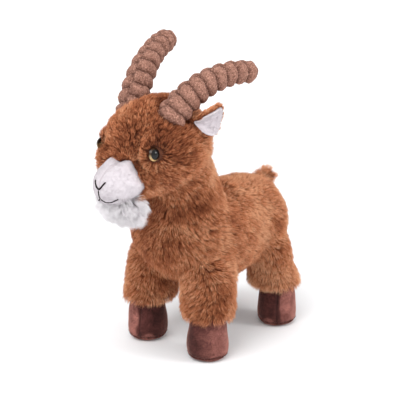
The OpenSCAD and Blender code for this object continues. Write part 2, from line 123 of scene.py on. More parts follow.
def mix(mat, fac, a, b, blend_type="MIX"):
    """Mixes two colours, each an output or a constant."""
    made = node(mat, "ShaderNodeMix", data_type="RGBA", blend_type=blend_type)
    for socket, value in ((made.inputs[0], fac), (made.inputs[6], a), (made.inputs[7], b)):
        if isinstance(value, bpy.types.NodeSocket):
            link(mat, value, socket)
        elif isinstance(value, tuple):
            socket.default_value = (*value, 1)
        else:
            socket.default_value = value
    return made.outputs[2]


def bump(mat, strength, distance_mm, *heights):
    """Bump from one or more height outputs, on the Principled shader."""
    shader = mat.node_tree.nodes["Principled BSDF"]
    normal = None
    for height in heights:
        made = node(mat, "ShaderNodeBump", Strength=strength, Distance=distance_mm * MM)
        link(mat, height, made.inputs["Height"])
        if normal is not None:
            link(mat, normal, made.inputs["Normal"])
        normal = made.outputs["Normal"]
    link(mat, normal, shader.inputs["Normal"])


def base_colour(mat, output):
    link(mat, output, mat.node_tree.nodes["Principled BSDF"].inputs["Base Color"])


def shades(name, colours, roughness, **settings):
    """A palette of plain materials for strands, darkest first."""
    return [new_material(f"{name}_{i}", c, roughness, **settings) for i, c in enumerate(colours)]


def fabric_backing():
    """The brown backing that shows deep between the tufts."""
    mat = new_material("fur_backing", (0.2, 0.07, 0.035), 0.95)
    base_colour(mat, ramp(mat, noise(mat, 160), (0.3, (0.06, 0.016, 0.007)), (0.7, (0.16, 0.048, 0.02))))
    bump(mat, 0.6, 0.5, noise(mat, 900))
    return mat


def short_pile(name, dark, light, crease, fuzz, sheen):
    """Short brushed pile with painted shade: it darkens where the mesh attribute crease is high, in its seams
    and in the creases between rolls.
    """
    mat = new_material(name, light, 0.9, Sheen_Weight=sheen, Sheen_Roughness=0.5)
    pile = ramp(mat, noise(mat, 420, 4), (0.3, dark), (0.7, light))
    base_colour(mat, mix(mat, attribute(mat, "crease"), pile, crease))
    bump(mat, 0.35, 0.3, noise(mat, fuzz, 2))
    return mat


def suede():
    """Dark micro-suede: brushed patches, a lighter copy of the suede painted in as sheen where the attribute
    nap is high, painted shade in the seams where crease is high, and a pinkish sheen."""
    mat = new_material("hoof_suede", (0.1, 0.035, 0.028), 0.85, Sheen_Weight=0.9,
                       Sheen_Roughness=0.3, Sheen_Tint=(0.85, 0.48, 0.4), Specular_IOR_Level=0.2)
    # Painted sheen: the lighter of these two copies of the suede goes where the nap attribute is high.
    suede_without_painted_sheen = ramp(mat, noise(mat, 90, 5), (0.3, (0.03, 0.008, 0.007)), (0.72, (0.1, 0.031, 0.026)))
    along = ramp(mat, noise(mat, 90, 5), (0.3, (0.12, 0.04, 0.033)), (0.72, (0.34, 0.14, 0.112)))
    brushed = mix(mat, attribute(mat, "nap"), suede_without_painted_sheen, along)
    specks = ramp(mat, noise(mat, 1500, 2), (0.38, (0.35, 0.33, 0.33)), (0.62, (1.6, 1.5, 1.5)))
    speckled = mix(mat, 1.0, brushed, specks, "MULTIPLY")
    # Painted shade: the seams darken to near black where the crease attribute is high.
    base_colour(mat, mix(mat, attribute(mat, "crease"), speckled, (0.014, 0.004, 0.004)))
    bump(mat, 0.5, 0.3, noise(mat, 3200, 2), noise(mat, 520))
    return mat


def amber_eye():
    """Glossy amber plastic with painted light: dark above and bright at its lower edge, a painted glow where
    the light leaves it.
    """
    mat = new_material("eye_amber", (0.2, 0.09, 0.02), 0.15, Specular_IOR_Level=0.35)
    place = node(mat, "ShaderNodeTexCoord")
    split = node(mat, "ShaderNodeSeparateXYZ")
    link(mat, place.outputs["Object"], split.inputs["Vector"])
    eye_z = float(np.mean([c[2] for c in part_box("pupil_left")]))
    # Painted light: the colour runs from dark at the top of the eye to bright streaks at its lower edge.
    low = node(mat, "ShaderNodeMapRange", From_Min=eye_z + 0.001, From_Max=eye_z - 0.0045)
    link(mat, split.outputs["Z"], low.inputs["Value"])
    painted_glow_streaks = ramp(mat, noise(mat, 900, 3), (0.3, (0.55, 0.3, 0.08)), (0.7, (0.95, 0.75, 0.42)))
    base_colour(mat, mix(mat, low.outputs["Result"], (0.035, 0.014, 0.005), painted_glow_streaks))
    return mat


def pupil_black():
    mat = new_material("eye_pupil", (0.004, 0.004, 0.004), 0.05, Specular_IOR_Level=0.35)
    base_colour(mat, ramp(mat, noise(mat, 300), (0.3, (0.002, 0.002, 0.002)), (0.7, (0.006, 0.005, 0.005))))
    return mat


def embroidery():
    mat = new_material("thread", (0.012, 0.008, 0.008), 0.8, Specular_IOR_Level=0.05)
    base_colour(mat, ramp(mat, noise(mat, 2400), (0.3, (0.006, 0.004, 0.004)), (0.7, (0.022, 0.013, 0.012))))
    return mat


BACKING = fabric_backing()
FUR_SHADES = shades(
    "fur",
    [
        (0.095, 0.02, 0.0065), (0.19, 0.045, 0.015), (0.325, 0.092, 0.032), (0.48, 0.15, 0.058),
        (0.63, 0.225, 0.096), (0.79, 0.34, 0.162), (0.9, 0.48, 0.27),
    ],
    0.6, Specular_IOR_Level=0.35,
)
WHITE_SHADES = shades(
    "white_pile",
    [(0.84, 0.78, 0.82), (0.91, 0.86, 0.89), (0.96, 0.92, 0.945), (0.99, 0.965, 0.98)],
    0.7, Specular_IOR_Level=0.3,
)
NAP_SHADES = shades(
    "white_nap",
    [(0.6, 0.545, 0.575), (0.69, 0.64, 0.672), (0.75, 0.705, 0.735)],
    0.9, Specular_IOR_Level=0.1,
)
HORN_SHADES = shades(
    "horn_curl",
    [
        (0.07, 0.022, 0.013), (0.17, 0.065, 0.04), (0.36, 0.165, 0.112), (0.66, 0.36, 0.265),
        (0.95, 0.66, 0.53),
    ],
    0.8, Specular_IOR_Level=0.2,
)
SUEDE_SHADES = shades(
    "suede_nap",
    [(0.055, 0.015, 0.013), (0.14, 0.045, 0.037), (0.32, 0.13, 0.105)],
    0.85, Specular_IOR_Level=0.2,
)
# The fourth colour of each pile is painted shade, for the seams and creases of the pieces that have them.
MUZZLE_PILE = short_pile("muzzle_pile", (0.62, 0.57, 0.6), (0.73, 0.685, 0.715), (0.4, 0.33, 0.36), 3600, 0.2)
EAR_PILE = short_pile("ear_pile", (0.66, 0.59, 0.62), (0.8, 0.74, 0.77), (0.4, 0.28, 0.28), 3600, 0.2)
BEARD_BACKING = short_pile(
    "beard_backing", (0.82, 0.77, 0.8), (0.92, 0.88, 0.9), (0.7, 0.6, 0.65), 3600, 0.1
)
HORN_PILE = short_pile("horn_pile", (0.2, 0.088, 0.06), (0.4, 0.2, 0.145), (0.07, 0.025, 0.017), 2600, 0.0)
SUEDE = suede()
THREAD = embroidery()


# ---- Meshes ------------------------------------------------------------------------------------
def new_object(name, mesh, materials):
    obj = bpy.data.objects.new(name, mesh)
    bpy.context.scene.collection.objects.link(obj)
    for mat in materials:
        mesh.materials.append(mat)
    return obj


def mesh_from(name, points_mm, faces, slots=None):
    """A smooth-shaded mesh. faces is a list of arrays, each of faces with the same corner count."""
    mesh = bpy.data.meshes.new(name)
    corners = np.concatenate([f.ravel() for f in faces])
    sizes = np.concatenate([np.full(len(f), f.shape[1]) for f in faces])
    mesh.vertices.add(len(points_mm))
    mesh.vertices.foreach_set("co", (np.asarray(points_mm) * MM).astype(np.float32).ravel())
    mesh.loops.add(len(corners))
    mesh.loops.foreach_set("vertex_index", corners.astype(np.int32))
    mesh.polygons.add(len(sizes))
    starts = np.concatenate([[0], np.cumsum(sizes)[:-1]])
    mesh.polygons.foreach_set("loop_start", starts.astype(np.int32))
    if slots is not None:
        mesh.polygons.foreach_set("material_index", slots.astype(np.int32))
    mesh.polygons.foreach_set("use_smooth", np.ones(len(sizes), bool))
    mesh.update()
    mesh.validate()
    return mesh


def copy_of_nodes(name, nodes):
    """One new object with copies of the CAD nodes' meshes."""
    bm = bmesh.new()
    for n in nodes:
        bm.from_mesh(frame["nodes"][n].data)
    mesh = bpy.data.meshes.new(name)
    bm.to_mesh(mesh)
    bm.free()
    return new_object(name, mesh, [])


def shade_smooth(mesh):
    for polygon in mesh.polygons:
        polygon.use_smooth = True


def close_up(bm, obj):
    """Closes the open edges of a working mesh with flat faces and gives it to the object."""
    bmesh.ops.holes_fill(bm, edges=[e for e in bm.edges if e.is_boundary], sides=0)
    bmesh.ops.triangulate(bm, faces=bm.faces[:])
    bmesh.ops.recalc_face_normals(bm, faces=bm.faces[:])
    bm.to_mesh(obj.data)
    bm.free()


def apply_modifiers(obj):
    """Replaces the object's mesh by its evaluated mesh and takes its modifiers off."""
    seen = obj.evaluated_get(bpy.context.evaluated_depsgraph_get())
    made = bpy.data.meshes.new_from_object(seen)
    obj.modifiers.clear()
    obj.data = made
    shade_smooth(made)
    return obj


def one_skin(name, nodes, voxel_mm, smooth):
    """The nodes' outside as one closed, evenly meshed and smoothed skin."""
    return remeshed(copy_of_nodes(name, nodes), voxel_mm, smooth)


def points_of(mesh):
    flat = np.empty(len(mesh.vertices) * 3)
    mesh.vertices.foreach_get("co", flat)
    return flat.reshape(-1, 3) / MM


def place_points(mesh, points_mm):
    mesh.vertices.foreach_set("co", (points_mm * MM).astype(np.float32).ravel())
    mesh.update()


def set_values(mesh, name, values):
    """A number for each vertex, which the materials read by name."""
    found = mesh.attributes.get(name) or mesh.attributes.new(name, "FLOAT", "POINT")
    found.data.foreach_set("value", np.asarray(values, np.float32))


def subdivide(obj, levels=1):
    made = obj.modifiers.new("finer", "SUBSURF")
    made.levels = made.render_levels = levels
    return apply_modifiers(obj)


def remeshed(obj, voxel_mm, smooth):
    """The object's outside as an evenly meshed skin, smoothed a few times."""
    remesh = obj.modifiers.new("remesh", "REMESH")
    remesh.mode = "VOXEL"
    remesh.voxel_size = voxel_mm * MM
    relax = obj.modifiers.new("relax", "SMOOTH")
    relax.factor = 0.5
    relax.iterations = smooth
    return apply_modifiers(obj)


def plump(obj, most_mm, pressure):
    """Swells a closed skin by cloth simulation, as its filling does, by at most most_mm."""
    before = points_of(obj.data)
    cloth = obj.modifiers.new("cloth", "CLOTH")
    cloth.settings.use_pressure = True
    cloth.settings.uniform_pressure_force = pressure
    cloth.settings.effector_weights.gravity = 0
    for number in range(1, SIM_FRAMES + 1):
        bpy.context.scene.frame_set(number)
    apply_modifiers(obj)
    bpy.context.scene.frame_set(1)
    move = points_of(obj.data) - before
    far = np.linalg.norm(move, axis=1, keepdims=True)
    place_points(obj.data, before + move * np.minimum(1, most_mm / np.maximum(far, 1e-6)))
    print(f"{obj.name}: {len(before)} points swelled, median {np.median(far):.2f} mm")
    return obj


def lofted(name, rings_mm, materials):
    """A closed skin through rings of points, with a fan at each end."""
    rings = np.asarray(rings_mm, float)
    n, m = rings.shape[:2]
    k, j = np.meshgrid(np.arange(n - 1), np.arange(m), indexing="ij")
    k, j = k.ravel(), j.ravel()
    walls = np.stack([k * m + j, k * m + (j + 1) % m, (k + 1) * m + (j + 1) % m, (k + 1) * m + j], 1)
    around = np.arange(m)
    first, last = n * m, n * m + 1
    start = np.stack([(around + 1) % m, around, np.full(m, first)], 1)
    end = np.stack([(n - 1) * m + around, (n - 1) * m + (around + 1) % m, np.full(m, last)], 1)
    points = np.concatenate([rings.reshape(-1, 3), rings[0].mean(0)[None], rings[-1].mean(0)[None]])
    return new_object(name, mesh_from(name, points, [walls, np.concatenate([start, end])]), materials)


def tree_of(obj):
    """A search tree of the object's faces, in millimetres."""
    return BVHTree.FromPolygons(points_of(obj.data).tolist(), triangles_of(obj.data).tolist())


def dress(obj, body, nodes):
    """The piece rides on a body in place of CAD nodes."""
    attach(obj, body)
    if nodes:
        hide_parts(*nodes)
    return obj


def normals_of(mesh):
    flat = np.empty(len(mesh.vertices) * 3)
    mesh.vertices.foreach_get("normal", flat)
    return flat.reshape(-1, 3)


def triangles_of(mesh):
    mesh.calc_loop_triangles()
    flat = np.empty(len(mesh.loop_triangles) * 3, np.int32)
    mesh.loop_triangles.foreach_get("vertices", flat)
    return flat.reshape(-1, 3)


def unit(v):
    return v / np.maximum(np.linalg.norm(v, axis=-1, keepdims=True), 1e-9)


def along_skin(flow, normal, share=1):
    """The flow less its part along the normal, or less a share of that part."""
    return unit(flow - (flow * normal).sum(1, keepdims=True) * normal * share)


def waves(points, size_mm, seed, count=14):
    """A smooth random field of about -1 to 1, with bumps of about size_mm."""
    rng = np.random.default_rng(seed)
    ways = unit(rng.normal(size=(count, 3))) * rng.uniform(0.7, 1.6, (count, 1))
    turns = rng.uniform(0, 2 * math.pi, count)
    return np.sin(points @ ways.T * (math.pi / size_mm) + turns).sum(1) / math.sqrt(count / 2) / 1.6


def smoothstep(x, low, high):
    t = np.clip((x - low) / (high - low), 0, 1)
    return t * t * (3 - 2 * t)


# ---- Strands of pile ---------------------------------------------------------------------------
def scatter(mesh, per_mm2, rng):
    """Random points on a mesh, with their normals and triangle numbers."""
    points, normals, tris = points_of(mesh), normals_of(mesh), triangles_of(mesh)
    a, b, c = (points[tris[:, i]] for i in range(3))
    area = np.linalg.norm(np.cross(b - a, c - a), axis=1) / 2
    count = int(area.sum() * per_mm2)
    pick = rng.choice(len(tris), count, p=area / area.sum())
    u, v = rng.random((2, count, 1))
    flip = (u + v) > 1
    u, v = np.where(flip, 1 - u, u), np.where(flip, 1 - v, v)
    root = a[pick] + u * (b - a)[pick] + v * (c - a)[pick]
    n = normals[tris[pick]]
    normal = unit(n[:, 0] * (1 - u - v) + n[:, 1] * u + n[:, 2] * v)
    return root, normal, pick


def nearest_of(points, centres):
    tree = KDTree(len(centres))
    for i, centre in enumerate(centres):
        tree.insert(centre, i)
    tree.balance()
    return np.array([tree.find(p)[1] for p in points])


def strand_paths(root, normal, flow, length, rise, settle, times):
    """Points along each strand. It leaves the skin at the angle rise and settles to the angle
    settle, both in degrees, while it runs along flow."""
    start, end = np.radians(rise), np.radians(settle)
    bend = (start - end)[:, None]
    angle = start[:, None] - bend * times
    up = (np.cos(angle) - np.cos(start)[:, None]) / bend
    along = (np.sin(start)[:, None] - np.sin(angle)) / bend
    lengths = length[:, None, None]
    return root[:, None] + lengths * (up[..., None] * normal[:, None] + along[..., None] * flow[:, None])


def strand_mesh(name, path, normal, radius, shade, shade_steps):
    """Closed three-sided strands through path's points. The last point is the tip. shade is each
    strand's place in its palette, and shade_steps is what its sections add to that."""
    count, stations = path.shape[:2]
    rings = stations - 1
    along = unit(np.diff(path, axis=1))
    side = unit(np.cross(along, normal[:, None]))
    up = np.cross(side, along)
    corners = []
    for k in range(3):
        turn = 2 * math.pi * k / 3
        corners.append(path[:, :rings] + radius[..., None] * (math.cos(turn) * up + math.sin(turn) * side))
    body = np.stack(corners, 2).reshape(count, rings * 3, 3)
    points = np.concatenate([body, path[:, -1:]], 1)
    each = rings * 3 + 1
    base = (np.arange(count) * each)[:, None, None]
    quads = [
        [3 * r + k, 3 * r + (k + 1) % 3, 3 * r + 3 + (k + 1) % 3, 3 * r + 3 + k]
        for r in range(rings - 1) for k in range(3)
    ]
    last = 3 * (rings - 1)
    tips = [[last + k, last + (k + 1) % 3, 3 * rings] for k in range(3)] + [[2, 1, 0]]
    quad_faces = (base + np.array(quads)[None]).reshape(-1, 4)
    tip_faces = (base + np.array(tips)[None]).reshape(-1, 3)
    steps = np.array(shade_steps)
    quad_slots = (shade[:, None] + np.repeat(steps[: rings - 1], 3)[None]).ravel()
    tip_slots = (shade[:, None] + np.array([steps[-1]] * 3 + [steps[0]])[None]).ravel()
    slots = np.concatenate([quad_slots, tip_slots])
    return mesh_from(name, points.reshape(-1, 3), [quad_faces, tip_faces], slots)


class Pile:
    """Strands that are still free to be shared out among pieces."""

    def __init__(self, root, normal, flow, length, rise, settle, thick_mm, clump_mm, gather, seed,
                 swirl=0.2, jitter=0.16, stations=3, density=2.0, contrast=1.0):
        rng = np.random.default_rng(seed)
        count = len(root)
        self.times = np.linspace(0, 1, stations) ** 0.85
        clumps = max(int(count / (density * clump_mm * clump_mm)), 1)
        centres = rng.choice(count, min(clumps, count), replace=False)
        mine = nearest_of(root, root[centres])
        bent = flow + rng.normal(size=(len(centres), 3))[mine] * swirl + rng.normal(size=(count, 3)) * jitter
        bent = along_skin(bent, normal)
        length = length * rng.uniform(0.88, 1.1, len(centres))[mine] * rng.uniform(0.8, 1.12, count)
        rise = rise + rng.normal(size=len(centres))[mine] * 5 + rng.normal(size=count) * 5
        settle = np.full(count, float(settle)) + rng.normal(size=count) * 6
        path = strand_paths(root, normal, bent, length, rise, settle, self.times)
        pull = (gather * rng.uniform(0.5, 1.35, len(centres)))[mine]
        middle = path[centres][mine]
        path += (middle - path) * (pull[:, None] * self.times**1.4)[..., None]
        thick = thick_mm * rng.uniform(0.75, 1.25, count)
        narrowing = np.linspace(0.52, 0.36, stations - 1)
        self.radius = thick[:, None] * narrowing[None]
        self.path, self.normal, self.root = path, normal, root
        self.tone = contrast * (rng.normal(size=len(centres))[mine] * 0.6 + rng.normal(size=count) * 0.85)

    def shade(self, low, high, lift=0.0, broad=0.5):
        """Each strand's place in the palette, with broad, tuft and strand variation."""
        wide = waves(self.root, 34, 5) * broad + waves(self.root, 11, 6) * broad
        return np.clip(np.rint((low + high) / 2 + lift + wide + self.tone), low, high).astype(int)

    def piece(self, name, mask, palette, shade, steps):
        mesh = strand_mesh(
            name, self.path[mask], self.normal[mask], self.radius[mask], shade[mask], steps
        )
        return new_object(name, mesh, palette)


# ---- The brown body ----------------------------------------------------------------------------
# Along this line a point belongs to the torso, then the neck, then the head.
NECK_WAY = unit(PIVOT["head_nod"] - PIVOT["head_turn"])
COLLAR_FROM, COLLAR_TO, NAPE_TO = -13.0, 16.0, 48.0
LEG_BLEND_UP, LEG_BLEND_DOWN = 16.0, 24.0
TAIL_BLEND = 7.0


def along_neck(points):
    return (points - PIVOT["head_turn"]) @ NECK_WAY


def brown_nodes(prefix):
    return [n for n in frame["nodes"] if n.startswith(prefix) and "washer" not in n]


EYES = [np.mean([np.array(c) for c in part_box(f"pupil_{side}")], 0) / MM for side in SIDES]
HEM_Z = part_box("leg_front_left_skin")[0][2] / MM
GROUPS = {
    "torso": brown_nodes("torso") + ["chest_panel", "belly_panel"],
    "neck": brown_nodes("neck"),
    "head": brown_nodes("head") + ["jaw_panel"],
    "tail": brown_nodes("tail"),
    **{leg: brown_nodes(leg) for leg in LEGS},
}
body_skin = one_skin("body_skin", [n for nodes in GROUPS.values() for n in nodes], 3.6, 5)
plump(body_skin, 1.6, 4.0)
subdivide(body_skin)


def make_room_for_pile(mesh):
    """Draws the skin in behind the shoulders and over the brow, so that the pile on it ends where
    the body does."""
    points = points_of(mesh)
    inset = 3.6 * smoothstep(points[:, 1], 20, 70) * smoothstep(points[:, 2], HEM_Z, HEM_Z + 25)
    brow = smoothstep(points[:, 2], 180, 205) * smoothstep(-points[:, 1], 20, 45)
    for eye in EYES:
        brow = brow * smoothstep(np.linalg.norm(points - eye, axis=1), 9, 17)
    inset = inset + 2.4 * brow
    place_points(mesh, points - normals_of(mesh) * inset[:, None])


make_room_for_pile(body_skin.data)


def cut_off(obj, place_mm, way):
    """Cuts off, with a flat end, what lies beyond the place in the direction way."""
    bm = bmesh.new()
    bm.from_mesh(obj.data)
    plane = [c * MM for c in place_mm]
    bmesh.ops.bisect_plane(bm, geom=bm.verts[:] + bm.edges[:] + bm.faces[:], plane_co=plane,
                           plane_no=way, clear_outer=True)
    close_up(bm, obj)


# The trouser legs end flat a little above their hems, and the face ends where the muzzle begins.
FACE_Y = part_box("muzzle_left")[1][1] / MM
cut_off(body_skin, (0, 0, HEM_Z + 1.5), (0, 0, -1))
cut_off(body_skin, (0, FACE_Y, 0), (0, -1, 0))


def regions_of(mesh):
    """Each triangle's region: torso, collar, nape, head, tail or a leg."""
    points, tris = points_of(mesh), triangles_of(mesh)
    middle = points[tris].mean(1)
    owners = {}
    for group in ["torso", "tail", *LEGS]:
        source = copy_of_nodes("source", GROUPS[group])
        owners[group] = BVHTree.FromPolygons(
            [v.co[:] for v in source.data.vertices], [p.vertices[:] for p in source.data.polygons]
        )
        bpy.data.objects.remove(source)
    s = along_neck(middle)
    back = middle[:, 1] > 45
    found = np.where(s < NAPE_TO, "nape", "head").astype("<U20")
    found[s < COLLAR_TO] = "collar"
    found[s < COLLAR_FROM] = "torso"
    for i in np.nonzero((s < COLLAR_TO) & ((middle[:, 2] < 102) | back))[0]:
        near = {g: tree.find_nearest(Vector(middle[i] * MM))[3] for g, tree in owners.items()}
        best = min(near, key=near.get)
        if best != "torso":
            found[i] = best
    found[back & (found == "collar")] = "torso"
    return found


REGION = regions_of(body_skin.data)
COLLAR_START, COLLAR_END, NAPE_END = (
    PIVOT["head_turn"] + NECK_WAY * reach for reach in (COLLAR_FROM, COLLAR_TO, NAPE_TO)
)
TAIL_REACH = np.array([0, TAIL_BLEND, 0])
BLENDS = {
    "collar": ("torso", "neck", COLLAR_START, COLLAR_END),
    "nape": ("neck", "head", COLLAR_END, NAPE_END),
    "tail": ("torso", "tail", PIVOT["tail_wag"] - TAIL_REACH, PIVOT["tail_wag"] + TAIL_REACH),
}
for leg in LEGS:
    hip = PIVOT[f"{leg}_swing"]
    BLENDS[leg] = ("torso", leg, hip + [0, 0, LEG_BLEND_UP], hip - [0, 0, LEG_BLEND_DOWN])


def follow(obj, region):
    """The piece moves as its region of the body does."""
    if region in BLENDS:
        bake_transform(obj)
    else:
        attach(obj, region)
    return obj


# The CAD nodes that each region's fabric stands in for
REPLACED = {
    **GROUPS,
    "head": GROUPS["head"] + ["eye_washer_left", "eye_washer_right"],
    "collar": ["neck_side_left", "neck_side_right"],
    "nape": ["neck_stuffing"],
}


def make_skins():
    """One closed, padded piece of backing for each region of the body."""
    points, tris = points_of(body_skin.data), triangles_of(body_skin.data)
    for region in dict.fromkeys(REGION):
        mine = tris[REGION == region]
        used, faces = np.unique(mine, return_inverse=True)
        name = f"{region}_fabric"
        obj = new_object(name, mesh_from(name, points[used], [faces.reshape(-1, 3)]), [BACKING])
        bm = bmesh.new()
        bm.from_mesh(obj.data)
        close_up(bm, obj)
        shade_smooth(obj.data)
        follow(obj, region)
        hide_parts(*REPLACED[region])


make_skins()


# ---- Brown fur ---------------------------------------------------------------------------------
NOSE = np.array([0, -117.0, 170.0])


def fur_flow(p, normal):
    """The way the pile lies at each point: back from the nose over the head, down the neck and
    the chest, back and down the flanks, and straight down the legs."""
    s = along_neck(p)
    from_nose = unit(p - NOSE)
    head = from_nose + np.array([0, 0.1, -0.25])
    crown = smoothstep(p[:, 2], 212, 226)[:, None]
    head = head * (1 - crown) + crown * np.array([0, 1.0, 0.1])
    neck = np.stack([p[:, 0] * 0.006, 0.25 + 0 * s, -1 + 0 * s], 1)
    flank = np.stack([p[:, 0] * 0.004, 0.75 + 0 * s, -0.75 + 0 * s], 1)
    up_head = smoothstep(s, 26, 50)[:, None]
    up_neck = smoothstep(s, -12, 14)[:, None] * (1 - up_head)
    down_leg = smoothstep(-p[:, 2], -84, -62)[:, None]
    chest = smoothstep(-p[:, 1], 22, 44)[:, None]
    body = flank * (1 - chest) + neck * chest
    body = body * (1 - down_leg) + np.array([0, 0, -1.0]) * down_leg
    flow = head * up_head + neck * up_neck + body * (1 - up_head - up_neck)
    for eye in EYES:
        near = 1 - smoothstep(np.linalg.norm(p - eye, axis=1), 7, 16)
        flow = flow * (1 - near[:, None]) + unit(p - eye) * near[:, None]
    flow = flow + waves(p, 30, 11)[:, None] * np.cross(flow, normal) * 0.45
    return along_skin(flow, normal)


AHEAD_OF_EYE = np.array([0, -8.5, 0])


def fur_length(p):
    """Length of the pile in millimetres: shorter on the face and the crown, and longer at the hems
    of the legs, on the chest and just ahead of each eye."""
    face = smoothstep(-p[:, 1], 52, 84) * smoothstep(p[:, 2], 150, 165)
    crown = smoothstep(p[:, 2], 205, 228)
    hem = smoothstep(-p[:, 2], -56, -36)
    chest = smoothstep(-p[:, 1], 35, 70) * smoothstep(-p[:, 2], -160, -140)
    length = 8.4 - 2.2 * face - 1.4 * crown * (1 - face) + 0.4 * hem + 1.2 * chest
    for eye in EYES:
        ahead = np.linalg.norm(p - eye - AHEAD_OF_EYE, axis=1)
        length = length * (1 + 0.4 * (1 - smoothstep(ahead, 5, 10)))
    return length


MUZZLE_Z = 170.0
# The outline of the white muzzle on the face, the same on both sides: angle in degrees above
# level, and radius. It has a notch at the top with a peak beside it, and a corner on the cheek.
MUZZLE_OUTLINE = [
    (-90, 16.0), (-55, 15.6), (-30, 17.6), (-8, 21.6), (4, 23.4),
    (20, 21.8), (42, 20.6), (62, 21.6), (76, 18.6), (90, 15.4),
]


def muzzle_reach(p):
    """How far the muzzle's outline is from its middle, in the direction of each point."""
    angle = np.degrees(np.arctan2(p[:, 2] - MUZZLE_Z, np.abs(p[:, 0])))
    angles, radii = np.array(MUZZLE_OUTLINE).T
    return np.interp(angle, angles, radii)


EYE_CLEAR = 6.0
HORN_CLEAR = 8.5
MAX_STRANDS = 19000
FUR_PER_MM2 = 2.7


def grow_fur():
    rng = np.random.default_rng(21)
    root, normal, tri = scatter(body_skin.data, FUR_PER_MM2, rng)
    under_hem = (root[:, 2] < HEM_Z + 2) & (normal[:, 2] < -0.7)
    on_face = -root[:, 1] > -FACE_Y - 2.5
    under_muzzle = on_face & (muzzle_reach(root) > np.hypot(root[:, 0], root[:, 2] - MUZZLE_Z) + 0.6)
    keep = ~(under_hem | under_muzzle)
    for eye in EYES:
        keep &= np.linalg.norm(root - eye, axis=1) > EYE_CLEAR
    for side in SIDES:
        keep &= np.linalg.norm(root - PIVOT[f"horn_{side}_flex"], axis=1) > HORN_CLEAR
    root, normal, tri = root[keep], normal[keep], tri[keep]
    flow = fur_flow(root, normal)
    face = smoothstep(-root[:, 1], 60, 88) * smoothstep(root[:, 2], 150, 165)
    rise = 72 - 16 * face
    for eye in EYES:
        rise = rise + 18 * face * (1 - smoothstep(np.linalg.norm(root - eye, axis=1), 8, 14))
    pile = Pile(root, normal, flow, fur_length(root), rise, 24, 0.31, 2.8, 0.24, 22,
                swirl=0.1, jitter=0.13, density=FUR_PER_MM2, contrast=0.9)
    # The pile's tone carries painted light and shade as well as its own variation.
    shade = pile.shade(0, 4, fur_tone_and_painted_light(root), 0.7)
    region = REGION[tri]
    for name in dict.fromkeys(REGION):
        share(pile, f"{name}_fur", region == name, shade, name)


def fur_tone_and_painted_light(p):
    """Where the pile is lighter, above 0, or darker. Painted light and shade: lighter towards the rear, along
    the back and the flanks, darker towards the chest and the face, and painted shade under the cheeks and the
    jaw. It is also darker between the brows and round the eyes, and lighter at the knees."""
    # Painted light and shade: lighter towards the rear, darker towards the front.
    lift = 0.35 + 0.5 * smoothstep(p[:, 1], -10, 40) - 0.35 * smoothstep(-p[:, 1], 30, 60)
    # Painted shade under the cheeks and the jaw.
    jaw = np.exp(-(((p[:, 2] - 146) / 11) ** 2)) * smoothstep(-p[:, 1], 5, 30)
    lift = lift - 1.5 * jaw + 0.5 * smoothstep(-p[:, 2], -70, -45)
    for eye in EYES:
        above = eye + [0, 6, 5]
        lift = lift - 1.6 * np.exp(-((np.linalg.norm(p - above, axis=1) / 9) ** 2))
    brow = np.exp(-((p[:, 0] / 7) ** 2)) * smoothstep(-p[:, 1], 62, 84) * smoothstep(p[:, 2], 182, 196)
    return lift - 1.1 * brow


def share(pile, name, mask, shade, region):
    """Splits a region's strands into pieces of at most MAX_STRANDS, from front to back."""
    index = np.nonzero(mask)[0]
    index = index[np.argsort(pile.root[index, 1], kind="stable")]
    parts = max(math.ceil(len(index) / MAX_STRANDS), 1)
    for i, chunk in enumerate(np.array_split(index, parts)):
        title = name if parts == 1 else f"{name}_{i + 1}"
        fur = pile.piece(title, chunk, FUR_SHADES, shade, [0, 2])
        follow(fur, region)


grow_fur()
bpy.data.objects.remove(body_skin)


# ---- Horns -------------------------------------------------------------------------------------
# A horn is a bent cone of plump rolls. Its two panels' rolls are half a roll apart.
HORN_LENGTH, HORN_BASE, HORN_TIP = 92.0, 13.4, 9.8
HORN_ROLLS, ROLL_DEPTH = 8.3, 4.0
HORN_BEND = {"left": 58.0, "right": 66.0}
HORN_SPLAY = 15.0
HORN_RISE = {"left": 16.0, "right": 32.0}
HORN_ROOT = 0.13
HORN_PER_MM2 = 1.7


def roll(phase):
    """Height of a roll, 0 in its creases and 1 on its crown."""
    return np.abs(np.sin(math.pi * phase)) ** 0.48


